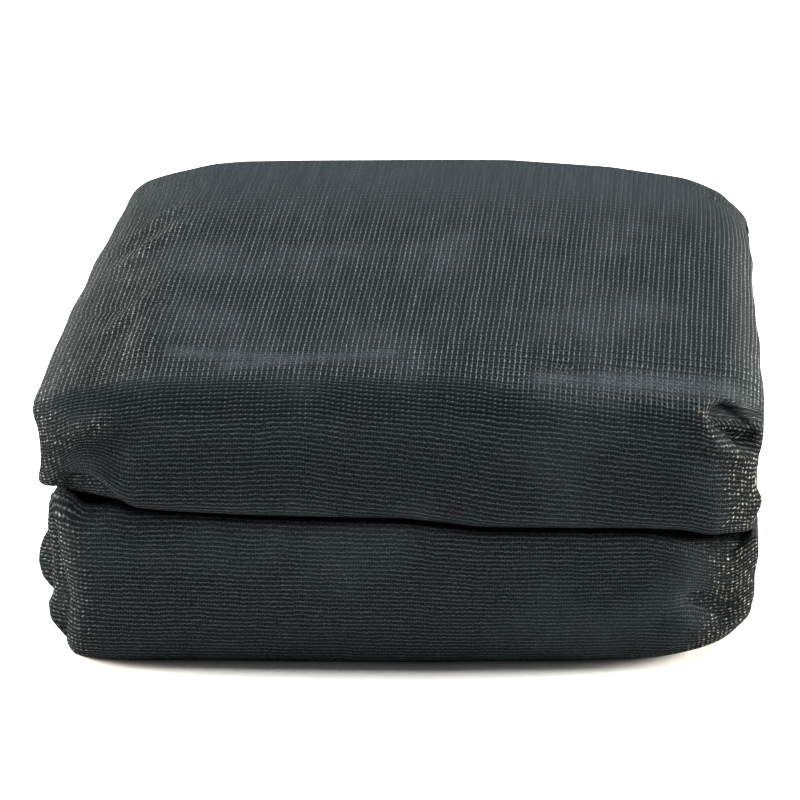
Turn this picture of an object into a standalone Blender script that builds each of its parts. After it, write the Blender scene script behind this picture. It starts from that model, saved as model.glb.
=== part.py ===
"""A knitted safety net, folded for storage into a block of two pads, as one closed solid.

The net is first pleated into a strip as wide as the block.  The strip then runs back and forth:
the lower pad's inner layers, its outer skin round the front and under the bottom, up the back of
both pads, over the top, round the upper pad's front, and into the upper pad's inner layers.
Each layer here stands for the strip's pleats pressed together.  X is the block's width, Y runs
from the front folds to the back, Z is up, and the origin is at the middle of the underside.
"""

import math

import bmesh
import bpy
from mathutils import Vector

# Driving dimensions of the evenly folded block, in metres.  The tables below make it uneven.
LAYERS = 10  # layers of the strip in each pad
LAYER = 0.0074  # thickness of one layer
PAD = 0.088  # height of one pad
CREASE = 0.002  # gap between the pads
DEPTH = 0.430  # front folds to the back
SKEW = 0.066  # how far the block leans to +X for each metre to the back
GAP = 0.0016  # least gap between a fold and the layer that wraps it

PITCH = (PAD - LAYER) / (LAYERS - 1)
TOTAL = 2 * PAD + CREASE

# The outline of each pad's front, as two quarter ellipses that meet at the nose:
# depth and height of the part above the nose, then of the part below it.
LOWER_NOSE = {"above": (0.016, 0.020), "below": (0.024, 0.068)}
UPPER_NOSE = {"above": (0.034, 0.068), "below": (0.018, 0.020)}
BACK_DEPTH = 0.060  # how far the back's rounding reaches forward

# How the block changes across its width.  x: place from the middle to the left or right.
# low: height of the lower pad.  top: height of both pads.  gape: extra opening of the crease at
# the front.  low_nose, up_nose: how far each nose lies behind the foremost one.  back: how far
# the back lies in front of the rearmost place.  full: share of the layer's thickness.
STATIONS = (
    # x, low, top, gape, low_nose, up_nose, back, full
    (-0.2000, 0.096, 0.163, 0.006, 0.012, 0.014, 0.024, 0.45),
    (-0.1960, 0.095, 0.168, 0.008, 0.006, 0.008, 0.018, 1.00),
    (-0.1750, 0.091, 0.174, 0.011, 0.003, 0.003, 0.008, 1.00),
    (-0.1300, 0.089, 0.177, 0.002, 0.001, 0.000, 0.003, 1.00),
    (-0.0500, 0.088, 0.178, 0.000, -0.001, 0.000, 0.001, 1.00),
    (0.0300, 0.086, 0.178, 0.000, -0.003, 0.000, 0.000, 1.00),
    (0.1100, 0.083, 0.174, 0.001, 0.000, 0.001, 0.003, 1.00),
    (0.1600, 0.079, 0.168, 0.001, 0.003, 0.003, 0.010, 1.00),
    (0.1960, 0.077, 0.158, 0.001, 0.009, 0.008, 0.026, 1.00),
    (0.2000, 0.077, 0.154, 0.001, 0.014, 0.014, 0.034, 0.45),
)

# How far each layer's two side edges stand out from the stations' ends, from the lowest up.
EDGES = (
    # left, right
    (-0.009, -0.030),
    (-0.004, -0.018),
    (0.001, -0.008),
    (0.000, -0.004),
    (-0.002, -0.002),
    (0.003, 0.000),
    (0.005, -0.001),
    (0.003, -0.001),
    (0.000, 0.000),
    (-0.001, -0.002),
    (-0.002, -0.003),
    (-0.001, -0.001),
    (0.001, -0.003),
    (0.000, -0.001),
    (-0.001, -0.002),
    (0.001, 0.000),
    (0.002, -0.001),
    (0.001, 0.000),
    (0.002, -0.002),
    (0.001, -0.004),
)

# The same for the skin round the two fronts, by height in the even block.
NOSE_EDGES = (
    # height, left, right
    (0.000, -0.014, -0.040),
    (0.013, -0.006, -0.018),
    (0.029, -0.007, -0.005),
    (0.047, -0.015, -0.002),
    (0.060, -0.011, 0.000),
    (0.088, -0.009, 0.000),
    (0.090, -0.001, -0.001),
    (0.130, 0.000, 0.001),
    (0.150, 0.002, 0.000),
    (0.165, 0.006, 0.002),
    (0.178, 0.003, 0.001),
)

# How the block changes towards the back.  share: its height, as a share of the height at the
# front.  draw_in: how far its left side is drawn in.
FALL = (
    # depth, share, draw_in
    (0.000, 1.000, 0.000),
    (0.070, 1.000, 0.000),
    (0.250, 0.993, 0.004),
    (0.340, 0.975, 0.008),
    (0.430, 0.945, 0.014),
)

# How the upper pad slopes down to its front, as a share of its height further back.
FRONT_SLOPE = (
    # depth, share
    (0.000, 0.83),
    (0.010, 0.83),
    (0.020, 0.85),
    (0.035, 0.91),
    (0.070, 1.00),
)

HALF_WIDTH = STATIONS[-1][0]
GAPE_DEPTH = 0.150  # how far back the crease's opening reaches
FRONT_REACH = 0.180  # how far back a nose's shift reaches
BACK_REACH = 0.180  # how far forward the back's shift reaches
BREAKS = (0.035, 0.070, 0.250, 0.340)  # depths where a flat run has an extra point, to follow the tables

FOLD_STEPS = 4  # segments round one inner fold
NOSE_STEPS = 5  # segments in a quarter of a nose or of the back


def lerp_table(table, at):
    """The table's other columns at one value of its first column, by straight lines."""
    if at <= table[0][0]:
        return table[0][1:]
    for before, after in zip(table, table[1:]):
        if at <= after[0]:
            share = (at - before[0]) / (after[0] - before[0])
            return tuple(a + (b - a) * share for a, b in zip(before[1:], after[1:]))
    return table[-1][1:]


def layer_height(index):
    """Middle height of a layer of the even block, counted from the bottom."""
    pad, within = divmod(index, LAYERS)
    return pad * (PAD + CREASE) + LAYER / 2 + within * PITCH


def quarter(centre, depth, height, start, end):
    """Points of a quarter ellipse in the YZ plane, from one angle to another, in degrees."""
    points = []
    for step in range(NOSE_STEPS + 1):
        angle = math.radians(start + (end - start) * step / NOSE_STEPS)
        points.append((centre[0] + depth * math.cos(angle), centre[1] + height * math.sin(angle)))
    return points


def nose_path(nose, base):
    """The skin's middle line round a pad's front, from its top layer down to its lowest."""
    depth_above, height_above = nose["above"]
    depth_below, height_below = nose["below"]
    nose_z = base + height_below
    half = LAYER / 2
    above = quarter((depth_above, nose_z), depth_above - half, height_above - half, 90, 180)
    below = quarter((depth_below, nose_z), depth_below - half, height_below - half, 180, 270)
    return above + below[1:]


def inside_nose(nose, base, z):
    """How far back the space inside the skin begins at one height."""
    depth_above, height_above = nose["above"]
    depth_below, height_below = nose["below"]
    wall = LAYER + GAP
    offset = z - base - height_below
    depth, height = (depth_above, height_above) if offset > 0 else (depth_below, height_below)
    reach = min(1.0, abs(offset) / (height - wall))
    return depth - (depth - wall) * math.sqrt(1 - reach * reach)


def inside_back(z):
    """How far back the space inside the back's skin ends at one height."""
    wall = LAYER + GAP
    reach = min(1.0, abs(z - TOTAL / 2) / (TOTAL / 2 - wall))
    return DEPTH - BACK_DEPTH + (BACK_DEPTH - wall) * math.sqrt(1 - reach * reach)


def fold(lower, front):
    """The middle line, going up, of the fold that joins a layer to the one above it."""
    low, high = layer_height(lower), layer_height(lower + 1)
    radius = (high - low) / 2
    edges = (low - LAYER / 2, high + LAYER / 2)
    if front:
        nose, base = (LOWER_NOSE, 0.0) if lower < LAYERS else (UPPER_NOSE, PAD + CREASE)
        tip = max(inside_nose(nose, base, z) for z in edges)
        centre, side = tip + LAYER / 2 + radius, -1
    else:
        tip = min(inside_back(z) for z in edges)
        centre, side = tip - LAYER / 2 - radius, 1
    points = []
    for step in range(FOLD_STEPS + 1):
        angle = math.pi * (step / FOLD_STEPS - 0.5)
        points.append((centre + side * radius * math.cos(angle), (low + high) / 2 + radius * math.sin(angle)))
    return points


def free_end(index):
    """The strip's free end, where its layer stops just inside the back."""
    z = layer_height(index)
    return [(min(inside_back(z - LAYER / 2), inside_back(z + LAYER / 2)), z)]


def marked(points, on_nose=0.0):
    """The points, each with a mark that is 1 on the skin round a front and 0 elsewhere."""
    return [(y, z, on_nose) for y, z in points]


def strip_path():
    """The marked middle line of the whole strip in the even block, between its free ends."""
    last = LAYERS - 1
    top = 2 * LAYERS - 1
    path = marked(free_end(1))
    for lower in range(1, last):
        path += marked(fold(lower, front=lower % 2 == 1))
    path += marked(nose_path(LOWER_NOSE, 0.0), on_nose=1.0)
    middle = (DEPTH - BACK_DEPTH, TOTAL / 2)
    half = LAYER / 2
    path += marked(quarter(middle, BACK_DEPTH - half, TOTAL / 2 - half, -90, 0))
    path += marked(quarter(middle, BACK_DEPTH - half, TOTAL / 2 - half, 0, 90)[1:])
    path += marked(nose_path(UPPER_NOSE, PAD + CREASE), on_nose=1.0)
    for lower in range(LAYERS, top - 1):
        path += marked(fold(lower, front=lower % 2 == 1))
    return path + marked(free_end(top - 1))


def with_breaks(path):
    """The path with extra points where a long flat run crosses one of the BREAKS."""
    points = [path[0]]
    for (y_start, z_start, mark_start), (y_end, z_end, mark_end) in zip(path, path[1:]):
        forwards = y_end > y_start
        for y in BREAKS if forwards else BREAKS[::-1]:
            if min(y_start, y_end) < y < max(y_start, y_end):
                share = (y - y_start) / (y_end - y_start)
                mark = mark_start + (mark_end - mark_start) * share
                points.append((y, z_start + (z_end - z_start) * share, mark))
        points.append((y_end, z_end, mark_end))
    return points


def thickened(path, half):
    """The path's two sides, at this distance from it, with the path's marks."""
    sides = []
    for index, (y, z, on_nose) in enumerate(path):
        before = Vector(path[max(index - 1, 0)][:2])
        after = Vector(path[min(index + 1, len(path) - 1)][:2])
        along = (after - before).normalized()
        across_y, across_z = -along.y * half, along.x * half
        sides.append(((y + across_y, z + across_z, on_nose), (y - across_y, z - across_z, on_nose)))
    return sides


def edge_reach(z, left, on_nose):
    """How far the side edge at one height of the even block stands out from the stations' ends."""
    column = 0 if left else 1
    nose = lerp_table(NOSE_EDGES, z)[column]
    pad = 0 if z < PAD + CREASE / 2 else 1
    within = (z - pad * (PAD + CREASE) - LAYER / 2) / PITCH
    at = pad * LAYERS + min(max(within, 0.0), LAYERS - 1.0)
    below = min(int(at), len(EDGES) - 2)
    low, high = EDGES[below][column], EDGES[below + 1][column]
    return (low + (high - low) * (at - below)) * (1 - on_nose) + nose * on_nose


def placed(y, z, on_nose, station):
    """A point of the even block's section, moved to where it lies at one station."""
    x, low, top, gape, low_nose, up_nose, back, _ = station
    upper_share = min(max((z - PAD) / CREASE, 0.0), 1.0)
    opening = CREASE + gape * max(0.0, 1 - y / GAPE_DEPTH)
    (slope,) = lerp_table(FRONT_SLOPE, y)
    above = max(z - PAD - CREASE, 0.0) * slope
    height = min(z, PAD) * low / PAD + opening * upper_share + above * (top - low - opening) / PAD
    fall, draw_in = lerp_table(FALL, y)
    nose = low_nose + (up_nose - low_nose) * upper_share
    depth = y + nose * max(0.0, 1 - y / FRONT_REACH) - back * max(0.0, 1 - (DEPTH - y) / BACK_REACH)
    outwards = edge_reach(z, x < 0, on_nose) * x / HALF_WIDTH + draw_in * max(0.0, -x / HALF_WIDTH)
    return Vector((x + outwards + SKEW * depth, depth, height * fall))


def net_mesh():
    """The closed mesh of the folded strip, with its underside at the middle of the frame."""
    path = with_breaks(strip_path())
    rings = []
    for station in STATIONS:
        sides = thickened(path, LAYER / 2 * station[-1])
        rings.append([tuple(placed(*side, station) for side in pair) for pair in sides])
    corners = [corner for ring in rings for pair in ring for corner in pair]
    low, high = ([pick(c[axis] for c in corners) for axis in range(3)] for pick in (min, max))
    middle = Vector(((low[0] + high[0]) / 2, (low[1] + high[1]) / 2, low[2]))

    mesh = bmesh.new()
    grid = [[[mesh.verts.new(corner - middle) for corner in pair] for pair in ring] for ring in rings]
    last = len(path) - 1
    for ring, beyond in zip(grid, grid[1:]):
        for at in range(last):
            mesh.faces.new((ring[at][0], ring[at + 1][0], beyond[at + 1][0], beyond[at][0]))
            mesh.faces.new((ring[at][1], beyond[at][1], beyond[at + 1][1], ring[at + 1][1]))
        mesh.faces.new((ring[0][0], beyond[0][0], beyond[0][1], ring[0][1]))
        mesh.faces.new((ring[last][0], ring[last][1], beyond[last][1], beyond[last][0]))
    for at in range(last):
        first, end = grid[0], grid[-1]
        mesh.faces.new((first[at][0], first[at][1], first[at + 1][1], first[at + 1][0]))
        mesh.faces.new((end[at][0], end[at + 1][0], end[at + 1][1], end[at][1]))
    bmesh.ops.recalc_face_normals(mesh, faces=mesh.faces)
    made = bpy.data.meshes.new("folded_net")
    mesh.to_mesh(made)
    mesh.free()
    return made


def net_material():
    """Matt black-grey knitted plastic yarn."""
    material = bpy.data.materials.new("net_yarn")
    material.use_nodes = True
    shader = material.node_tree.nodes["Principled BSDF"]
    shader.inputs["Base Color"].default_value = (0.045, 0.050, 0.055, 1.0)
    shader.inputs["Roughness"].default_value = 0.7
    shader.inputs["Metallic"].default_value = 0.0
    return material


def build_net():
    """The folded net, as one object."""
    net = bpy.data.objects.new("folded_net", net_mesh())
    net.data.materials.append(net_material())
    net.data.shade_smooth()
    net.data.set_sharp_from_angle(angle=math.radians(40))
    bpy.context.scene.collection.objects.link(net)


for old in list(bpy.data.objects):
    bpy.data.objects.remove(old, do_unlink=True)
build_net()
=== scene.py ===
"""The looks of the folded safety net: one thin sheet of knitted mesh on the folds of its CAD solid.

The sheet's two long sides are folded in to make a strip, and the strip runs back and forth as the
CAD solid does: the lower pad's inner layers, the skin round the lower front, under the bottom, up
the back, over the top and round the upper front, then the upper pad's inner layers.
"""

import math

import bpy
import numpy as np
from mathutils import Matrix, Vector


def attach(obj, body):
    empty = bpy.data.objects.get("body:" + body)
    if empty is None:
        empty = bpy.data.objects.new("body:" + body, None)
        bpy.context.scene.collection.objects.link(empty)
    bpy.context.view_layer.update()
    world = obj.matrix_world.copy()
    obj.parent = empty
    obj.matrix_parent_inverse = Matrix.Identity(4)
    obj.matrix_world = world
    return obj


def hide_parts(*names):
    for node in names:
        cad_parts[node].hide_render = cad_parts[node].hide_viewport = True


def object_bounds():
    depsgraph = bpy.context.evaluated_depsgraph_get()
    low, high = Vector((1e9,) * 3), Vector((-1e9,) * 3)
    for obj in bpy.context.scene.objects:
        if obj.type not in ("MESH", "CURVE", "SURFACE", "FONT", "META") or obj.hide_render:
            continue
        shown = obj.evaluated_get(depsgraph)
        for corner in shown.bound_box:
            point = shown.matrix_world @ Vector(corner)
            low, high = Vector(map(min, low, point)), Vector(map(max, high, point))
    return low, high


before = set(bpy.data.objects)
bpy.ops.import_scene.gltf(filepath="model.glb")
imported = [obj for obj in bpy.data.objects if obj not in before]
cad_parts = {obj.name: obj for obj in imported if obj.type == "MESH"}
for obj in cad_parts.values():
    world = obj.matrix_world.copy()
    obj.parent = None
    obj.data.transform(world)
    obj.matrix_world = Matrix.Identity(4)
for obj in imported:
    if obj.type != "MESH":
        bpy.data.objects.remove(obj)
cad_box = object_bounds()

# ---------------------------------------------------------------- the folded block, close to the CAD one

LAYERS = 10  # layers of the strip in each pad
LAYER = 0.0074  # thickness of one layer
PAD = 0.088  # height of one pad
CREASE = 0.002  # gap between the pads
DEPTH = 0.430  # front folds to the back
SKEW = 0.066  # how far the block leans to +X for each metre to the back
GAP = 0.0016  # least gap between a fold and the layer that wraps it
PITCH = (PAD - LAYER) / (LAYERS - 1)
TOTAL = 2 * PAD + CREASE
LOWER_NOSE = {"above": (0.0078, 0.0082), "below": (0.024, 0.0798)}
UPPER_NOSE = {"above": (0.034, 0.068), "below": (0.013, 0.018)}
BACK_DEPTH = 0.060  # how far the back's rounding reaches forward

# How the block changes across its width.  x: place from the middle to the left or right.
# low: height of the lower pad.  top: height of both pads.  gape: extra opening of the crease at
# the front.  low_nose, up_nose: how far each nose lies behind the foremost one.  back: how far
# the back lies in front of the rearmost place.
STATIONS = (
    # x, low, top, gape, low_nose, up_nose, back
    (-0.2000, 0.103, 0.160, 0.006, 0.012, 0.016, 0.018),
    (-0.1960, 0.103, 0.164, 0.006, 0.006, 0.012, 0.013),
    (-0.1900, 0.103, 0.166, 0.008, 0.003, 0.009, 0.009),
    (-0.1830, 0.1025, 0.168, 0.0155, 0.002, 0.008, 0.008),
    (-0.1750, 0.1025, 0.170, 0.0180, 0.001, 0.006, 0.006),
    (-0.1650, 0.104, 0.172, 0.0125, 0.000, 0.004, 0.005),
    (-0.1560, 0.1025, 0.1745, 0.0035, 0.000, 0.003, 0.005),
    (-0.1480, 0.1005, 0.176, 0.000, 0.000, 0.001, 0.004),
    (-0.1300, 0.099, 0.1775, 0.000, 0.000, 0.000, 0.003),
    (-0.0900, 0.0965, 0.178, 0.000, -0.001, 0.000, 0.002),
    (-0.0450, 0.095, 0.178, 0.000, -0.002, 0.000, 0.001),
    (0.0000, 0.0942, 0.178, 0.000, -0.003, 0.000, 0.000),
    (0.0220, 0.0916, 0.178, 0.000, -0.003, 0.000, 0.000),
    (0.0450, 0.0885, 0.178, 0.000, -0.002, 0.000, 0.000),
    (0.1100, 0.0875, 0.174, 0.000, -0.001, 0.001, 0.003),
    (0.1400, 0.0865, 0.171, 0.0005, 0.001, 0.002, 0.009),
    (0.1600, 0.0795, 0.169, 0.0070, 0.002, 0.002, 0.0135),
    (0.1750, 0.0735, 0.167, 0.0085, 0.006, 0.004, 0.027),
    (0.1860, 0.0705, 0.164, 0.0105, 0.011, 0.010, 0.044),
    (0.1960, 0.0765, 0.158, 0.0015, 0.017, 0.017, 0.055),
    (0.2000, 0.078, 0.153, 0.000, 0.022, 0.021, 0.058),
)
# How far each layer's two side edges stand out from the stations' ends, from the lowest up.
EDGES = (
    # left, right
    (-0.009, -0.030),
    (-0.004, -0.018),
    (0.001, -0.008),
    (0.000, -0.004),
    (-0.002, -0.002),
    (0.003, 0.000),
    (0.005, -0.001),
    (0.003, -0.001),
    (0.000, 0.000),
    (-0.001, -0.002),
    (-0.002, -0.003),
    (-0.001, -0.001),
    (0.001, -0.003),
    (0.000, -0.001),
    (-0.001, -0.002),
    (0.001, 0.000),
    (0.002, -0.001),
    (0.001, 0.000),
    (0.002, -0.002),
    (0.003, -0.003),
)
# The same for the skin round the two fronts, by height in the even block.
NOSE_EDGES = (
    # height, left, right
    (0.000, -0.010, -0.036),
    (0.006, -0.007, -0.020),
    (0.013, -0.007, -0.012),
    (0.021, -0.008, -0.007),
    (0.030, -0.009, -0.001),
    (0.038, -0.011, -0.001),
    (0.046, -0.010, 0.000),
    (0.060, -0.008, -0.001),
    (0.075, -0.007, 0.001),
    (0.088, -0.003, 0.000),
    (0.090, 0.002, -0.002),
    (0.098, 0.004, -0.002),
    (0.108, 0.004, 0.000),
    (0.118, 0.003, 0.003),
    (0.126, 0.003, 0.001),
    (0.133, 0.003, -0.003),
    (0.147, 0.003, -0.003),
    (0.160, 0.004, 0.001),
    (0.170, 0.008, 0.002),
    (0.178, 0.009, 0.001),
)
# How the block changes towards the back.
FALL = (
    # depth, share of the height at the front, draw-in of the left side
    (0.000, 1.000, 0.000),
    (0.070, 1.000, 0.000),
    (0.250, 0.993, 0.004),
    (0.340, 0.975, 0.007),
    (0.430, 0.945, 0.011),
)
# How the upper pad slopes down to its front.
FRONT_SLOPE = (
    # depth, share of the upper pad's height
    (0.000, 0.83),
    (0.010, 0.83),
    (0.020, 0.85),
    (0.035, 0.91),
    (0.070, 1.00),
)
HALF_WIDTH = STATIONS[-1][0]
# How far the second and the third left fold of the lower front stand out past the first.
LEAVES = (
    # height in the even block, second, third
    (0.011, 0.000, 0.000),
    (0.014, 0.005, 0.000),
    (0.019, 0.012, 0.000),
    (0.028, 0.014, 0.000),
    (0.034, 0.012, 0.000),
    (0.037, 0.012, 0.014),
    (0.042, 0.012, 0.020),
    (0.050, 0.010, 0.020),
    (0.058, 0.008, 0.017),
    (0.066, 0.007, 0.013),
    (0.073, 0.008, 0.008),
    (0.080, 0.005, 0.003),
    (0.088, 0.002, 0.000),
)
LEAF_REACH = 0.050  # how far in from the left edge the leaves are pulled
LEAF_BACK = 0.9  # how far back a leaf lies for each metre that it stands out
LIP = 0.0040  # how far the lower pad's front edge rises into the hollow under the upper pad's roll
LIP_DEPTH = 0.003  # where it rises most, from the front
LIP_REACH = 0.0065  # how far before and behind that it rises
LIP_FADE = 12  # how quickly it fades towards the pad's bottom
TUCKED_IN = 0.012  # how far in the left ends of the lower pad's inner folds lie at the front
TUCK_REACH = 0.045  # how far back they do
WANDER = 0.0012  # how far the side edges wander in and out along the strip
LEFT_WAVES = (0.113, 0.071, 0.173)  # lengths of that wandering
RIGHT_WAVES = (0.127, 0.067, 0.193)
GAPE_DEPTH = 0.150  # how far back the crease's opening reaches
FRONT_REACH = 0.180  # how far back a nose's shift reaches
BACK_REACH = 0.180  # how far forward the back's shift reaches

# ---------------------------------------------------------------- creases, placed one by one

# Soft hollows and ridges of the placed net: from, to, reach, and the push at the middle.
PRESSES = (
    # the deep dimple at the upper right corner, and the rolls round it
    ((0.1700, -0.186, 0.1510), (0.1830, -0.191, 0.1395), 0.0053, (-0.001, 0.028, -0.0120)),
    ((0.1600, -0.188, 0.152), (0.1650, -0.196, 0.142), 0.0040, (-0.001, -0.004, 0.001)),
    ((0.1660, -0.198, 0.1385), (0.1850, -0.199, 0.1305), 0.0042, (0.000, -0.005, 0.002)),
    ((0.1720, -0.184, 0.1560), (0.1880, -0.186, 0.1500), 0.0045, (0.000, 0.0015, -0.0020)),
    # the lower right corner
    ((0.157, -0.209, 0.048), (0.173, -0.206, 0.035), 0.0085, (0.000, 0.006, 0.000)),
    ((0.128, -0.211, 0.050), (0.150, -0.210, 0.056), 0.0120, (0.000, -0.002, 0.000)),
    # the upper front's left end
    ((-0.200, -0.199, 0.146), (-0.172, -0.198, 0.156), 0.0080, (0.000, -0.003, 0.001)),
    ((-0.197, -0.206, 0.130), (-0.168, -0.207, 0.139), 0.0090, (0.000, 0.003, 0.000)),
    # soft ridges across the top's left flank
    ((-0.176, -0.112, 0.173), (-0.161, -0.080, 0.174), 0.0065, (0.000, 0.000, 0.0024)),
    ((-0.161, -0.080, 0.174), (-0.145, -0.045, 0.175), 0.0065, (0.000, 0.000, 0.0022)),
    ((-0.179, -0.012, 0.171), (-0.161, 0.016, 0.172), 0.0065, (0.000, 0.000, 0.0024)),
    ((-0.161, 0.016, 0.172), (-0.145, 0.046, 0.173), 0.0065, (0.000, 0.000, 0.0022)),
    ((-0.169, 0.045, 0.170), (-0.155, 0.070, 0.171), 0.0065, (0.000, 0.000, 0.0022)),
    ((-0.155, 0.070, 0.171), (-0.139, 0.086, 0.172), 0.0065, (0.000, 0.000, 0.0021)),
    ((-0.159, 0.124, 0.168), (-0.136, 0.134, 0.170), 0.0070, (0.000, 0.000, 0.0030)),
    ((-0.157, -0.146, 0.174), (-0.152, -0.094, 0.175), 0.0075, (0.000, 0.000, 0.0026)),
    # the back right corner
    ((0.176, 0.140, 0.160), (0.192, 0.130, 0.156), 0.0050, (0.000, 0.000, 0.0028)),
    ((0.186, 0.124, 0.156), (0.200, 0.117, 0.153), 0.0035, (0.000, 0.000, -0.0030)),
    # a small dent at the front of the top
    ((0.079, -0.160, 0.171), (0.084, -0.161, 0.171), 0.0055, (0.000, 0.001, -0.0020)),
)
# Small rolls that move the cloth only close to them, as from, to, reach and push too.
ROLLS = (
    # the lower pad's upper left corner
    ((-0.203, -0.205, 0.103), (-0.195, -0.206, 0.103), 0.0058, (0.000, -0.002, 0.011)),
)
# How far the rows of the upper front bow up, across the width.
BOW = (
    (-0.200, -0.004),
    (-0.155, 0.007),
    (-0.065, 0.011),
    (-0.020, 0.0045),
    (0.025, 0.0015),
    (0.045, -0.002),
    (0.070, -0.0025),
    (0.135, -0.009),
    (0.200, -0.011),
)
# Places where the rows are pulled up or down: place, reach, pull.
PULLS = (
    ((0.156, -0.209, 0.050), 0.020, 0.005),
    ((0.174, -0.205, 0.036), 0.012, -0.004),
)
# Bands of painted light along the top's front edge, where the holes are filled lighter too: from, to, reach.
PAINTED_LIGHT_BANDS = (
    ((-0.110, -0.164, 0.173), (-0.013, -0.151, 0.176), 0.0045),
    ((-0.135, -0.150, 0.175), (-0.070, -0.158, 0.175), 0.0060),
    ((0.069, -0.172, 0.169), (0.125, -0.171, 0.168), 0.0060),
    ((0.105, -0.171, 0.167), (0.186, -0.166, 0.156), 0.0095),
)
# Lips where the cloth turns sharply and its loops stand open, with painted glints and painted warm side light
# there: from, to, reach, share.
LIPS = (
    # round the dimple
    ((0.1600, -0.188, 0.153), (0.1650, -0.196, 0.142), 0.0060, 1.0),
    ((0.1660, -0.198, 0.1385), (0.1860, -0.199, 0.1310), 0.0060, 1.0),
    ((0.1690, -0.178, 0.1585), (0.1880, -0.182, 0.1510), 0.0045, 0.9),
    # the upper front's left end
    ((-0.197, -0.201, 0.142), (-0.177, -0.200, 0.153), 0.0060, 0.8),
    ((-0.211, -0.181, 0.153), (-0.209, -0.162, 0.159), 0.0080, 0.9),
    # the ridges across the top's left flank, and one more between them
    ((-0.176, -0.112, 0.173), (-0.145, -0.045, 0.175), 0.0050, 0.5),
    ((-0.185, -0.076, 0.172), (-0.161, -0.013, 0.173), 0.0060, 0.5),
    ((-0.179, -0.012, 0.171), (-0.145, 0.046, 0.173), 0.0070, 0.5),
    ((-0.169, 0.045, 0.170), (-0.139, 0.086, 0.172), 0.0050, 0.5),
    ((-0.166, -0.146, 0.173), (-0.152, -0.076, 0.175), 0.0060, 0.5),
    # the back right corner
    ((0.176, 0.140, 0.160), (0.196, 0.124, 0.156), 0.0060, 0.7),
    # the lower front's bottom edge, towards the right
    ((0.122, -0.196, 0.003), (0.160, -0.190, 0.006), 0.0045, 0.8),
)
LEAN = 0.0885  # how far the pillars lean to +X for each metre to the back

# ---------------------------------------------------------------- the sheet's grid

NOSE_STEP = 0.0028  # rows of the skin round the fronts
SKIN_STEP = 0.0042  # rows of the skin on top and behind
UNDER_STEP = 0.0120  # rows of the skin where it lies underneath
INNER_STEP = 0.0330  # rows of the inner layers
FOLD_STEPS = 6
HALF = LAYER / 2  # from the strip's middle to its outer plies


def column(table, index, at, soften):
    """One column of a table at many values of its first one, averaged over a short reach."""
    places = [row[0] for row in table]
    values = [row[index] for row in table]
    offsets = np.linspace(-soften, soften, 7)
    return np.mean([np.interp(at + offset, places, values) for offset in offsets], axis=0)


def layer_height(index):
    """Middle height of a layer of the even block, counted from the bottom."""
    pad, within = divmod(index, LAYERS)
    return pad * (PAD + CREASE) + HALF + within * PITCH


def quarter(centre, depth, height, start, end, step):
    """Points of a quarter ellipse in the YZ plane, about one step apart."""
    count = max(4, round((depth + height) / 2 * math.radians(abs(end - start)) / step))
    angles = np.radians(np.linspace(start, end, count + 1))
    return [(centre[0] + depth * math.cos(a), centre[1] + height * math.sin(a)) for a in angles]


def nose_path(nose, base):
    """The skin's middle line round a pad's front, from its top layer down to its lowest."""
    (depth_above, height_above), (depth_below, height_below) = nose["above"], nose["below"]
    nose_z = base + height_below
    above = quarter((depth_above, nose_z), depth_above - HALF, height_above - HALF, 90, 180, NOSE_STEP)
    below = quarter((depth_below, nose_z), depth_below - HALF, height_below - HALF, 180, 270, NOSE_STEP)
    return above + below[1:]


def inside_nose(nose, base, z):
    """How far back the space inside the skin begins at one height."""
    offset = z - base - nose["below"][1]
    depth, height = nose["above"] if offset > 0 else nose["below"]
    wall = LAYER + GAP
    reach = min(1.0, abs(offset) / max(0.001, height - wall))
    return max(wall, depth - (depth - wall) * math.sqrt(1 - reach * reach))


def inside_back(z):
    """How far back the space inside the back's skin ends at one height."""
    wall = LAYER + GAP
    reach = min(1.0, abs(z - TOTAL / 2) / (TOTAL / 2 - wall))
    return DEPTH - BACK_DEPTH + (BACK_DEPTH - wall) * math.sqrt(1 - reach * reach)


def fold(lower, front):
    """The middle line, going up, of the fold that joins a layer to the one above it."""
    low, high = layer_height(lower), layer_height(lower + 1)
    radius = (high - low) / 2
    edges = (low - HALF, high + HALF)
    if front:
        nose, base = (LOWER_NOSE, 0.0) if lower < LAYERS else (UPPER_NOSE, PAD + CREASE)
        centre = max(inside_nose(nose, base, z) for z in edges) + HALF + radius
    else:
        centre = min(inside_back(z) for z in edges) - HALF - radius
    side = -1 if front else 1
    angles = math.pi * (np.linspace(0, 1, FOLD_STEPS + 1) - 0.5)
    return [(centre + side * radius * math.cos(a), (low + high) / 2 + radius * math.sin(a)) for a in angles]


def free_end(index):
    """The strip's free end, where its layer stops just inside the back."""
    z = layer_height(index)
    return [(min(inside_back(z - HALF), inside_back(z + HALF)), z)]


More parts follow.
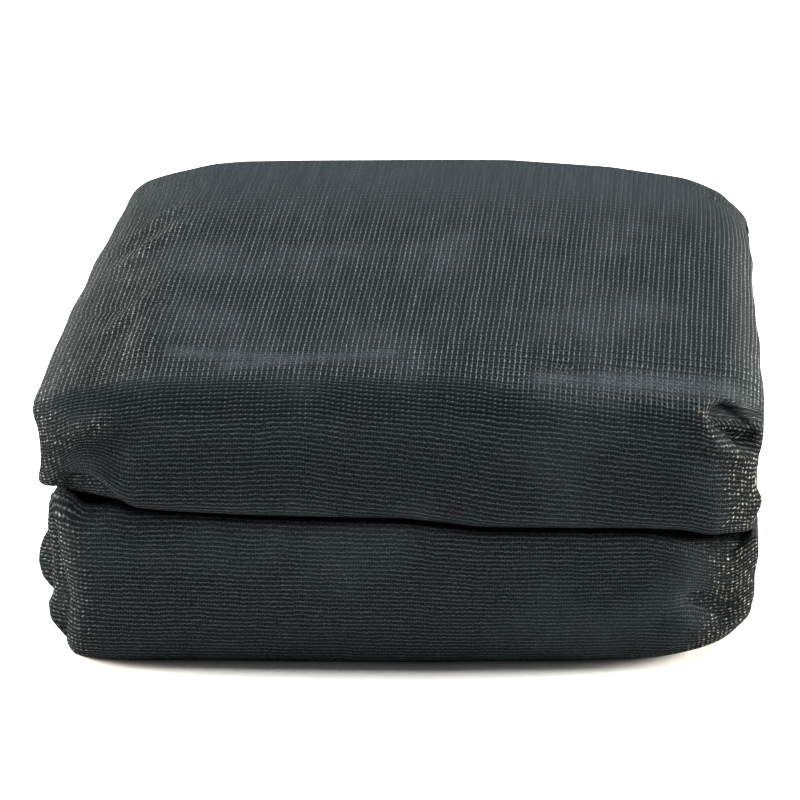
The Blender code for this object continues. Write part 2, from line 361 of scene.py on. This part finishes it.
def strip_path():
    """The strip's middle line in the even block: rows of y, z and the share of nose in each."""
    rows = []

    def add(points, on_nose=0.0, step=INNER_STEP):
        for y, z in points:
            if rows:
                y_last, z_last, nose_last = rows[-1]
                count = math.ceil(math.hypot(y - y_last, z - z_last) / step)
                for share in np.arange(1, count) / count:
                    rows.append((y_last + (y - y_last) * share, z_last + (z - z_last) * share,
                                 nose_last + (on_nose - nose_last) * share))
            rows.append((y, z, on_nose))

    top = 2 * LAYERS - 1
    middle = (DEPTH - BACK_DEPTH, TOTAL / 2)
    add(free_end(1))
    for lower in range(1, LAYERS - 1):
        add(fold(lower, front=lower % 2 == 1))
    add(nose_path(LOWER_NOSE, 0.0), on_nose=1.0)
    back = quarter(middle, BACK_DEPTH - HALF, TOTAL / 2 - HALF, -90, 0, SKIN_STEP)
    add(back, step=UNDER_STEP)
    add(quarter(middle, BACK_DEPTH - HALF, TOTAL / 2 - HALF, 0, 90, SKIN_STEP)[1:])
    add(nose_path(UPPER_NOSE, PAD + CREASE), on_nose=1.0, step=SKIN_STEP)
    for lower in range(LAYERS, top - 1):
        add(fold(lower, front=lower % 2 == 1))
    add(free_end(top - 1))
    return np.array(rows)


def edge(side, inset):
    """The place across the strip that lies this far in from its left (-1) or right (1) edge."""
    return side * (HALF_WIDTH - inset)


def ply(start, end, height, count):
    """Columns of one flat ply: places across the strip, and heights in it."""
    return [(x, height) for x in np.linspace(start, end, count)]


def turn(side, inset, low, high, start, end, count):
    """Columns of a side fold between two heights, or of a part of one, by angle in degrees."""
    radius, middle = (high - low) / 2, (high + low) / 2
    angles = np.radians(np.linspace(start, end, count + 1))
    insets = [inset + radius * (1 - abs(math.cos(a))) for a in angles]
    return [(edge(side, far_in), middle + radius * math.sin(a)) for far_in, a in zip(insets, angles)]


# Heights of the five plies in the strip, from the outside in, as shares of HALF.
OUTER, UNDER, THIRD, FOURTH, LAST = 1.0, -1.0, 0.6, -0.5, 0.1
MIDDLE = 52  # the column in the middle of the outer ply
BUSY_SIDE = 0.065  # width at each side where the outer ply has closer columns
TUCK = 0.0014  # how much further in each fold lies than the one round it


def strip_columns():
    """The strip's section: both sides of the net are folded in, so its outer ply is the first."""
    heights = [HALF * share for share in (OUTER, UNDER, THIRD, FOURTH, LAST)]
    outer, under, third, fourth, last = heights
    cols = turn(-1, 0.0, under, outer, 172, 90, 6)
    cols += ply(edge(-1, HALF), edge(-1, BUSY_SIDE), outer, 24)[1:]
    cols += ply(edge(-1, BUSY_SIDE), edge(1, BUSY_SIDE), outer, 45)[1:]
    cols += ply(edge(1, BUSY_SIDE), edge(1, HALF), outer, 24)[1:]
    outer_end = len(cols) - 1
    cols += turn(1, 0.0, under, outer, 90, -90, 10)[1:]
    cols += ply(edge(1, HALF), edge(-1, HALF + TUCK), under, 14)[1:]
    cols += turn(-1, TUCK, under, third, -90, -270, 8)[1:]
    cols += ply(edge(-1, HALF + TUCK), edge(1, HALF + TUCK), third, 10)[1:]
    second_end = len(cols)
    cols += turn(1, 2 * TUCK, fourth, third, 90, -90, 6)[1:]
    cols += ply(edge(1, HALF + TUCK), edge(-1, HALF + TUCK), fourth, 10)[1:]
    cols += turn(-1, 2 * TUCK, fourth, last, -90, -270, 4)[1:]
    cols += ply(edge(-1, HALF + TUCK), 0.0, last, 6)[1:]
    number = np.arange(len(cols))
    return np.array(cols), number > outer_end, number >= second_end


# ---------------------------------------------------------------- placing the grid


def edge_reach(z, side, on_nose):
    """How far the left (1) or right (2) edge stands out from the stations' ends, by height."""
    heights = [layer_height(layer) for layer in range(2 * LAYERS)]
    rows = [(height, *both) for height, both in zip(heights, EDGES)]
    own = column(rows, side, z, 0.001)
    nose = column(NOSE_EDGES, side, z, 0.004)
    return own + (nose - own) * on_nose


def wander(along, start, waves):
    """A smooth uneven line of height about 1, from a few waves of these lengths."""
    turns = [along / wave + 0.37 * start * (n + 1) for n, wave in enumerate(waves)]
    return sum(np.sin(2 * np.pi * turn) for turn in turns) / len(waves)


def placed(x, y, z, on_nose, along, second, third):
    """Points of the even block moved to where they lie in the uneven one."""
    low, top, gape, low_nose, up_nose, back = (column(STATIONS, n, x, 0.004) for n in range(1, 7))
    upper_share = np.clip((z - PAD) / CREASE, 0, 1)
    opening = CREASE + gape * np.maximum(0, 1 - y / GAPE_DEPTH)
    above = np.maximum(z - PAD - CREASE, 0) * column(FRONT_SLOPE, 1, y, 0.010)
    height = np.minimum(z, PAD) * low / PAD + opening * upper_share + above * (top - low - opening) / PAD
    lip = LIP * np.exp(-(((y - LIP_DEPTH) / LIP_REACH) ** 2)) * np.clip(z / PAD, 0, 1) ** LIP_FADE
    height = height + lip * (1 - upper_share)
    fall, draw_in = column(FALL, 1, y, 0.040), column(FALL, 2, y, 0.040)
    nose = low_nose + (up_nose - low_nose) * upper_share
    depth = y + nose * np.maximum(0, 1 - y / FRONT_REACH)
    depth = depth - back * np.maximum(0, 1 - (DEPTH - y) / BACK_REACH)
    tucked_in = TUCKED_IN * np.exp(-((y / TUCK_REACH) ** 2)) * (1 - on_nose) * (1 - upper_share)
    left_out = edge_reach(z, 1, on_nose) - tucked_in + WANDER * wander(along, 1, LEFT_WAVES)
    right_out = edge_reach(z, 2, on_nose) + WANDER * wander(along, 2, RIGHT_WAVES)
    share = x / HALF_WIDTH
    out = np.where(share < 0, left_out, right_out) * share + draw_in * np.maximum(0, -share)
    leaf = np.where(third, column(LEAVES, 2, z, 0.001), column(LEAVES, 1, z, 0.001) * second)
    leaf = leaf * on_nose * (1 - upper_share) * soft_step((LEAF_REACH - HALF_WIDTH - x) / LEAF_REACH)
    return np.stack([x + out - leaf + SKEW * depth, depth + LEAF_BACK * leaf, height * fall], axis=-1)


def soft_step(share):
    """A smooth step from 0 to 1."""
    share = np.clip(share, 0, 1)
    return share * share * (3 - 2 * share)


def sheet_grid():
    """Every point of the sheet, as rows along the strip and columns across it."""
    path = strip_path()
    cols, second, third = strip_columns()
    y, z, on_nose = path.T
    steps = np.hypot(np.diff(y), np.diff(z))
    along = np.concatenate([[0], np.cumsum(steps)])
    slope_y, slope_z = np.gradient(y, along), np.gradient(z, along)
    size = np.hypot(slope_y, slope_z)
    out_y, out_z = slope_z / size, -slope_y / size
    x, lift = cols.T
    points = placed(
        x[None, :] + 0 * y[:, None],
        y[:, None] + out_y[:, None] * lift,
        z[:, None] + out_z[:, None] * lift,
        on_nose[:, None],
        along[:, None],
        second[None, :],
        third[None, :],
    )
    return points, out_z, z > PAD + CREASE / 2


def nearness(points, start, end, reach, way=None):
    """1 on a line, falling softly to 0 beyond its reach, and more slowly along one direction."""
    start, end = np.array(start), np.array(end)
    line = end - start
    share = np.clip((points - start) @ line / (line @ line), 0, 1)
    gap = points - start - share[..., None] * line
    if way is not None:
        gap = gap - 0.75 * (gap @ way)[..., None] * way
    return np.exp(-(gap * gap).sum(axis=-1) / reach**2)


def pressed(points):
    """The points after all the pushes of PRESSES and ROLLS, each from where it was."""
    moves = np.zeros_like(points)
    for start, end, reach, push in PRESSES:
        push = np.array(push)
        moves += nearness(points, start, end, reach, push / np.linalg.norm(push))[..., None] * push
    for start, end, reach, push in ROLLS:
        moves += nearness(points, start, end, reach)[..., None] * np.array(push)
    return points + moves


def flat_places(points):
    """Each point's place in the flat cloth: metres across the pillars and along them, and the width."""
    steps = np.linalg.norm(np.diff(points, axis=1), axis=2)
    across = np.concatenate([np.zeros((len(points), 1)), np.cumsum(steps, axis=1)], axis=1)
    centre = points[:, MIDDLE]
    u = across - across[:, [MIDDLE]] + (centre[:, 0] - LEAN * centre[:, 1])[:, None]
    v = np.concatenate([[0], np.cumsum(np.linalg.norm(np.diff(centre, axis=0), axis=1))])
    return u, v[:, None] + 0 * u, across[:, -1]


# ---------------------------------------------------------------- where each look of the knit shows

UPPER_FRONT = (-0.12, 0.07)  # the upper front starts at this y, and is reached over this length
LOWER_FRONT = (-0.17, 0.02)  # the same for the lower front
LEFT_END = -0.13  # left of here the lower front is taller
LEVELLED = 0.8  # share of that height which the rows of the knit don't follow
TOP_FACING = (0.86, 0.12)  # the cloth lies from this share of facing up, fully so this much further
TOP_START = (-0.182, 0.012)  # the top starts at this y, and is reached over this length
TO_RIGHT = (0.02, 0.07)  # right of this x it starts sooner, fully so after this length
RIGHT_FACING = 0.16  # and there this much less facing up is enough
RIGHT_START = 0.012  # and it starts this much nearer to the front
BENT = (0.45, 0.35)  # the cloth bends over from this share of facing up, fully so this much further
LOOPS_CLOSE = (0.6, 0.3)  # open loops weaken from this share of facing up, fully so this much further
DOUBLED = (0.02, 0.12)  # behind this y the ply below fills the holes, fully so after this length
# The open loops at the sides also carry the painted glints and the painted warm side light.
FRONT_ENDS = (-0.08, 0.06)  # the open loops spread in from the sides before this y, over this length
SIDE_LOOPS = 0.012  # how far in from the sides they reach behind it
FRONT_LOOPS = {"left": 0.0135, "upper right": 0.0125, "lower right": 0.0215}  # and how much more here
LEFT_LOOPS = {"upper": 0.65, "lower": 0.42}  # how strongly they show at the left
LOOP_FADE = {"left": 0.018, "right": 0.014}  # lengths over which they fade inwards
# The top's margins are painted lighter and warmer, and its left flank warmer, as painted side light.
MARGIN = 0.022  # width of the lighter margin of the top
MARGIN_FADE = 0.016  # length over which it fades inwards
MARGIN_RIGHT = 0.7  # how strong it is at the right
FLANK = (-0.115, 0.06)  # the top's left flank starts at this x, and is reached over this length


def rising(value, ramp):
    """0 up to the ramp's start, then softly up to 1 over its length."""
    start, length = ramp
    return soft_step((value - start) / length)


def falling(value, ramp):
    """0 down to the ramp's start, then softly up to 1 as the value falls by its length."""
    start, length = ramp
    return soft_step((start - value) / length)


def drawn_along(points, middle_line, in_upper):
    """How far the knit's rows are drawn along the cloth from their even places."""
    upper_front = falling(middle_line[:, 1], UPPER_FRONT) * in_upper
    drawn = column(BOW, 1, points[..., 0], 0.012) * upper_front[:, None]
    for place, reach, pull in PULLS:
        drawn = drawn + pull * nearness(points, place, np.array(place) + [0.0001, 0, 0], reach)
    # near the left end the lower front is taller, but its rows stay level
    lower_front = falling(middle_line[:, 1], LOWER_FRONT) * ~in_upper
    taller = column(STATIONS, 1, points[..., 0], 0.004) / column(STATIONS, 1, np.array(LEFT_END), 0.004) - 1
    level = LEVELLED * points[..., 2] * taller * (points[..., 0] < LEFT_END) * lower_front[:, None]
    return drawn - level


def loops_and_glints_at_sides(on_left, from_side, at_front, in_upper):
    """How far the loops stand open where the cloth turns at its sides; the same share carries the painted
    glints and painted warm side light.
    """
    more_right = np.where(in_upper, FRONT_LOOPS["upper right"], FRONT_LOOPS["lower right"])[:, None]
    reach_right = SIDE_LOOPS + at_front * more_right
    reach_left = SIDE_LOOPS + at_front * FRONT_LOOPS["left"]
    left_share = np.where(in_upper, LEFT_LOOPS["upper"], LEFT_LOOPS["lower"])[:, None]
    left = left_share * falling(from_side, (reach_left, LOOP_FADE["left"]))
    right = falling(from_side, (reach_right, LOOP_FADE["right"]))
    return np.where(on_left, left, right) * (0.5 + 0.5 * at_front)


def knit_patterns(points, middle_line, even_depth, facing_up, in_upper):
    """How much of each look of the knit shows at every point, from 0 to 1, by name."""
    from_side = HALF_WIDTH - np.abs(strip_columns()[0][:, 0])
    on_left = points[..., 0] < 0
    to_right = rising(points[..., 0], TO_RIGHT)
    on_top = rising(facing_up[:, None] + RIGHT_FACING * to_right, TOP_FACING)
    on_top = on_top * rising(even_depth + RIGHT_START * to_right, TOP_START)
    bent = rising(facing_up, BENT)[:, None]
    below = (~in_upper & (middle_line[:, 1] < -0.150))[:, None]
    # lying and hanging choose the knit's looks by how the cloth faces; their tones are partly painted light
    lying = np.where(below, 0, on_top)
    hanging = np.where(below, 1, 1 - bent) + 0 * lying
    at_front = falling(middle_line[:, 1], FRONT_ENDS)[:, None]
    turned = loops_and_glints_at_sides(on_left, from_side, at_front, in_upper)
    hanging = hanging * (1 - 0.8 * turned)
    turned = turned * (1 - 0.6 * rising(facing_up, LOOPS_CLOSE)[:, None])
    for start, end, reach, share in LIPS:
        turned = np.maximum(turned, share * nearness(points, start, end, reach))
    # painted warm side light: on the top's left flank, its margins and the turned sides
    flank = falling(points[..., 0], FLANK) * on_top
    margin = falling(from_side, (MARGIN, MARGIN_FADE)) * on_top * np.where(on_left, 1.0, MARGIN_RIGHT)
    painted_side_light = np.maximum(turned, np.maximum(0.7 * flank, 0.9 * margin))
    doubled = rising(points[..., 1], DOUBLED) * on_top
    # painted light: the lighter bands along the top's front edge, and weaker along its margins
    painted_light_band = 0.6 * margin
    for start, end, reach in PAINTED_LIGHT_BANDS:
        painted_light_band = np.maximum(painted_light_band, nearness(points, start, end, reach))
    return {
        "lying": lying,
        "hanging": hanging,
        "doubled": doubled,
        "painted_light_band": painted_light_band,
        "turned": turned,
        "painted_side_light": painted_side_light,
    }


def sheet_mesh(points, u, v, patterns):
    """The sheet as a mesh, with its flat places as UVs and each pattern as an attribute."""
    rows, cols = points.shape[:2]
    index = np.arange(rows * cols).reshape(rows, cols)
    quads = np.stack([index[:-1, :-1], index[:-1, 1:], index[1:, 1:], index[1:, :-1]], axis=-1).reshape(-1, 4)
    mesh = bpy.data.meshes.new("safety_net")
    mesh.from_pydata(points.reshape(-1, 3).tolist(), [], quads.tolist())
    layer = mesh.uv_layers.new(name="cloth")
    corner = quads.reshape(-1)
    flat = np.stack([u.reshape(-1)[corner], v.reshape(-1)[corner]], axis=-1)
    layer.uv.foreach_set("vector", flat.astype(np.float32).ravel())
    for name, values in patterns.items():
        attribute = mesh.attributes.new(name, "FLOAT", "POINT")
        attribute.data.foreach_set("value", values.astype(np.float32).ravel())
    mesh.shade_smooth()
    mesh.validate()
    return mesh


# ---------------------------------------------------------------- materials


class Nodes:
    """Short names for adding nodes to a material and linking them."""

    def __init__(self, name):
        self.material = bpy.data.materials.new(name)
        self.material.use_nodes = True
        self.tree = self.material.node_tree
        self.shader = self.tree.nodes["Principled BSDF"]

    def add(self, kind, inputs, **settings):
        """A new node with these settings, and its inputs given by name or number."""
        node = self.tree.nodes.new(kind)
        for key, value in settings.items():
            setattr(node, key, value)
        for key, value in inputs.items():
            self.feed(node.inputs[key], value)
        return node

    def feed(self, socket, value):
        """Links a socket to an output, or sets its own value."""
        if isinstance(value, bpy.types.NodeSocket):
            self.tree.links.new(value, socket)
        else:
            socket.default_value = value

    def math(self, operation, *values):
        return self.add("ShaderNodeMath", dict(enumerate(values)), operation=operation).outputs[0]

    def noise(self, vector, scale, detail):
        inputs = {"Vector": vector, "Scale": scale, "Detail": detail}
        return self.add("ShaderNodeTexNoise", inputs).outputs["Fac"]

    def ramp(self, value, low, high, to_low=0.0, to_high=1.0):
        """A smooth step from one value to another."""
        inputs = {"Value": value, "From Min": low, "From Max": high, "To Min": to_low, "To Max": to_high}
        node = self.add("ShaderNodeMapRange", inputs, interpolation_type="SMOOTHSTEP")
        return node.outputs["Result"]

    def blend(self, share, first, second):
        """One colour fading into another."""
        node = self.add("ShaderNodeMix", {}, data_type="RGBA")
        self.feed(node.inputs["Factor"], share)
        self.feed(node.inputs["A"], first)
        self.feed(node.inputs["B"], second)
        return node.outputs["Result"]

    def wave(self, turns):
        """A wave between 0 and 1, with its crest at whole turns."""
        cosine = self.math("COSINE", self.math("MULTIPLY", turns, 2 * math.pi))
        return self.math("MULTIPLY_ADD", cosine, 0.5, 0.5)


def plain(name, colour, rough):
    """A material of one colour, for the floor."""
    nodes = Nodes(name)
    nodes.shader.inputs["Base Color"].default_value = (*colour, 1.0)
    nodes.shader.inputs["Roughness"].default_value = rough
    return nodes.material


PILLAR = 0.0030  # from one pillar of stitches to the next
ROW = 0.0028  # from one row of stitches to the next
YARN = (0.048, 0.0595, 0.0660, 1.0)
# warmer yarn in random patches, and painted warm side light at the sides
YARN_WARM_AND_SIDE_LIT = (0.060, 0.058, 0.053, 1.0)  # at the sides and in patches
SHADE = (0.0048, 0.0062, 0.0068, 1.0)  # in the holes
UNDER_PLY = (0.017, 0.022, 0.024, 1.0)  # in the holes where the ply below shows
RELIEF = 0.0012  # height of the stitches
STREAKS = (330.0, 14.0, 1.0)  # streaks along the pillars: how many to a metre across and along


def knit():
    """Warp-knitted mesh: upright pillars of stitches, and rows of yarn laid in across them."""
    nodes = Nodes("net")
    place = nodes.add("ShaderNodeUVMap", {}, uv_map="cloth").outputs["UV"]
    lying, hanging, doubled, painted_light_band, turned, painted_side_light = (
        nodes.add("ShaderNodeAttribute", {}, attribute_name=name).outputs["Fac"]
        for name in ("lying", "hanging", "doubled", "painted_light_band", "turned", "painted_side_light")
    )
    parts = nodes.add("ShaderNodeSeparateXYZ", {"Vector": place}).outputs
    stray = nodes.add("ShaderNodeTexNoise", {"Vector": place, "Scale": 45.0, "Detail": 2.0, "Roughness": 0.6})
    drift = nodes.add("ShaderNodeSeparateColor", {"Color": stray.outputs["Color"]}).outputs
    jitter = nodes.add("ShaderNodeTexNoise", {"Vector": place, "Scale": 420.0, "Detail": 1.0})
    shake = nodes.add("ShaderNodeSeparateColor", {"Color": jitter.outputs["Color"]}).outputs

    def cell(length, pitch, slow, fast, slow_size, fast_size):
        """Cloth length in stitches, with a slow drift and a quick jitter."""
        even = nodes.math("DIVIDE", length, pitch)
        drifted = nodes.math("MULTIPLY_ADD", nodes.math("SUBTRACT", slow, 0.5), slow_size, even)
        return nodes.math("MULTIPLY_ADD", nodes.math("SUBTRACT", fast, 0.5), fast_size, drifted)

    def most(*values):
        """The greatest of some values."""
        greatest = values[0]
        for value in values[1:]:
            greatest = nodes.math("MAXIMUM", greatest, value)
        return greatest

    def times(value, factor):
        return nodes.math("MULTIPLY", value, factor)

    def between(first, second, share):
        """A number fading from the first value to the second."""
        return nodes.math("MULTIPLY_ADD", nodes.math("SUBTRACT", second, first), share, first)

    # the loops stray more where the cloth turns
    u_stray = nodes.math("MULTIPLY_ADD", turned, 0.5, 0.30)
    v_stray = nodes.math("MULTIPLY_ADD", turned, 0.5, 0.40)
    u = cell(parts["X"], PILLAR, drift["Red"], shake["Red"], 0.35, u_stray)
    v = cell(parts["Y"], ROW, drift["Green"], shake["Green"], 1.1, v_stray)
    zigzag = nodes.math("SINE", nodes.math("MULTIPLY", u, 2 * math.pi))
    v_row = nodes.math("MULTIPLY_ADD", zigzag, 0.05, v)

    # The tones of these looks are partly the knit's own set and partly painted light: lying on top its
    # pillars are painted as lit from above, hanging down the front the rows' upper sides are.
    # lying flat, the pillars stand proud and the rows sink between them
    pillar = nodes.math("POWER", nodes.wave(u), 2.8)
    pair = nodes.wave(nodes.math("MULTIPLY_ADD", v, 0.5, 0.12))
    rib = times(pillar, nodes.math("MULTIPLY_ADD", pair, 0.29, 0.37))
    bar = nodes.math("POWER", nodes.wave(v_row), 1.5)
    flat_tone = most(rib, times(bar, 0.31))
    flat_relief = most(pillar, times(bar, 0.6))
    # hanging down the front, the rows stand proud with two holes to a pillar between them
    row = nodes.math("POWER", nodes.wave(v_row), 1.3)
    eyes = nodes.wave(nodes.math("MULTIPLY_ADD", u, 2.0, 0.25))
    hung_tone = most(times(row, 0.39), times(nodes.math("SUBTRACT", 1.0, eyes), 0.26))
    hung_relief = most(times(row, 0.60), times(nodes.math("SUBTRACT", 1.0, eyes), 0.40))
    # where it bends over the edge, only the crossings stand proud
    knots = times(nodes.math("POWER", nodes.wave(u), 2.0), nodes.math("POWER", nodes.wave(v_row), 1.2))
    bent_tone = most(times(knots, 0.52), times(bar, 0.26))

    tone = between(between(bent_tone, flat_tone, lying), hung_tone, hanging)
    relief = between(between(most(knots, times(bar, 0.5)), flat_relief, lying), hung_relief, hanging)
    tone = between(tone, 0.19, times(doubled, 0.75))
    # painted light: a lighter tone in the bands along the top's front edge
    tone = between(tone, 0.32, times(painted_light_band, 0.75))
    # painted glints: bright specks where the cloth turns at its sides, standing for the side lamps' glints on
    # the yarn
    painted_glints = times(times(nodes.ramp(nodes.noise(place, 260.0, 1.0), 0.45, 0.60), turned), knots)
    tone = nodes.math("MULTIPLY_ADD", painted_glints, 0.55, tone)
    glints = nodes.math("SUBTRACT", nodes.noise(place, 520.0, 1.0), 0.5)
    relief = nodes.math("MULTIPLY_ADD", glints, 0.8, relief)

    patches = nodes.noise(place, 14.0, 2.0)
    fill = most(times(nodes.ramp(patches, 0.45, 0.70), 0.45), times(doubled, 0.8), painted_light_band)
    hole = nodes.blend(fill, SHADE, UNDER_PLY)
    # warmer yarn in random patches, and painted warm side light on the flank, margins and turned sides
    warm_and_side_lit = most(nodes.ramp(nodes.noise(place, 140.0, 2.0), 0.50, 0.80), painted_side_light)
    shade_of = nodes.blend(warm_and_side_lit, YARN, YARN_WARM_AND_SIDE_LIT)
    fibres = nodes.ramp(nodes.noise(place, 750.0, 1.0), 0.28, 0.72, 0.35, 1.70)
    long_way = nodes.add("ShaderNodeVectorMath", {0: place, 1: STREAKS}, operation="MULTIPLY")
    streaks = nodes.ramp(nodes.noise(long_way.outputs[0], 1.0, 2.0), 0.30, 0.70, 0.70, 1.35)
    fibres = times(fibres, between(1.0, streaks, lying))
    # painted sparkle of the side light, in the same places
    painted_sparkle = nodes.ramp(nodes.noise(place, 480.0, 2.0), 0.35, 0.65, 0.45, 1.75)
    fibres = times(fibres, between(1.0, painted_sparkle, painted_side_light))
    # the painted glints brighten the yarn's colour too
    fibres = times(fibres, nodes.math("MULTIPLY_ADD", painted_glints, 2.4, 1.0))
    worn = nodes.add("ShaderNodeMix", {}, data_type="RGBA", blend_type="MULTIPLY")
    nodes.feed(worn.inputs["Factor"], 1.0)
    nodes.feed(worn.inputs["A"], shade_of)
    nodes.feed(worn.inputs["B"], fibres)
    colour = nodes.blend(nodes.ramp(tone, 0.02, 0.90), hole, worn.outputs["Result"])
    bump = nodes.add("ShaderNodeBump", {"Height": relief, "Strength": 1.0, "Distance": RELIEF})
    nodes.feed(nodes.shader.inputs["Base Color"], colour)
    nodes.feed(nodes.shader.inputs["Normal"], bump.outputs["Normal"])
    nodes.feed(nodes.shader.inputs["Roughness"], nodes.ramp(tone, 0.15, 0.60, 0.85, 0.42))
    nodes.feed(nodes.shader.inputs["Specular IOR Level"], nodes.ramp(tone, 0.25, 0.75, 0.0, 0.55))
    return nodes.material


# ---------------------------------------------------------------- the net

points, facing_up, in_upper = sheet_grid()
low, high = points.min(axis=(0, 1)), points.max(axis=(0, 1))
points = points - [(low[0] + high[0]) / 2, (low[1] + high[1]) / 2, low[2]]
even_depth = points[..., 1]  # before the creases are pressed in
points = pressed(points)
u, v, width = flat_places(points)
middle_line = points[:, MIDDLE]
patterns = knit_patterns(points, middle_line, even_depth, facing_up, in_upper)
v_drawn = v + drawn_along(points, middle_line, in_upper)

scene = bpy.context.scene
net = bpy.data.objects.new("safety_net", sheet_mesh(points, u, v_drawn, patterns))
scene.collection.objects.link(net)
net.data.materials.append(knit())
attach(net, "root")
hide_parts("folded_net")

# ---------------------------------------------------------------- floor, light and camera

floor_mesh = bpy.data.meshes.new("floor")
floor_mesh.from_pydata([(-6, -6, 0), (6, -6, 0), (6, 6, 0), (-6, 6, 0)], [], [(0, 1, 2, 3)])
floor = bpy.data.objects.new("floor", floor_mesh)
scene.collection.objects.link(floor)
floor_mesh.materials.append(plain("floor", (0.88, 0.88, 0.88), 0.9))

WHITE = (1.0, 1.0, 1.0)
WARM_WHITE = (1.0, 0.94, 0.84)
TOP_POWER = 150  # watts
SIDE_POWER = 132  # watts of each
SIDE_PLACE = 1.7  # how far to each side the side lamps stand


def area_light(name, place, target, size, power, colour):
    """A rectangular lamp at one place, turned to another."""
    data = bpy.data.lights.new(name, "AREA")
    data.color = colour
    data.shape = "RECTANGLE"
    data.size, data.size_y = size
    data.energy = power
    light = bpy.data.objects.new(name, data)
    light.location = place
    light.rotation_euler = (Vector(target) - Vector(place)).to_track_quat("-Z", "Y").to_euler()
    scene.collection.objects.link(light)
    return light


area_light("top_light", (0.0, 0.30, 1.9), (0, 0.1, 0.1), (2.4, 2.0), TOP_POWER, WHITE)
for name, x in (("left_light", -SIDE_PLACE), ("right_light", SIDE_PLACE)):
    side_light = area_light(name, (x, 0.0, 0.40), (0, 0, 0.1), (0.5, 0.6), SIDE_POWER, WARM_WHITE)
    # the low lamps' own images would shine on the top in the side views
    side_light.visible_glossy = False

world = bpy.data.worlds.new("world")
scene.world = world
world.use_nodes = True
world.node_tree.nodes["Background"].inputs["Color"].default_value = (1, 1, 1, 1)
world.node_tree.nodes["Background"].inputs["Strength"].default_value = 0.15

scene.view_settings.view_transform = "Standard"

LENS = 166.5  # millimetres on a 36 mm sensor
TILT = math.radians(24.5)  # how far the camera looks down
DISTANCE = 2.050  # from the camera to the point that it looks at
camera_data = bpy.data.cameras.new("camera")
camera_data.lens = LENS
camera = bpy.data.objects.new("camera", camera_data)
target = Vector((-0.0097, cad_box[0].y + 0.022, 0.165))
camera.location = target + Vector((0, -math.cos(TILT), math.sin(TILT))) * DISTANCE
camera.rotation_euler = (math.pi / 2 - TILT, 0, 0)
scene.collection.objects.link(camera)
bpy.context.scene.camera = camera
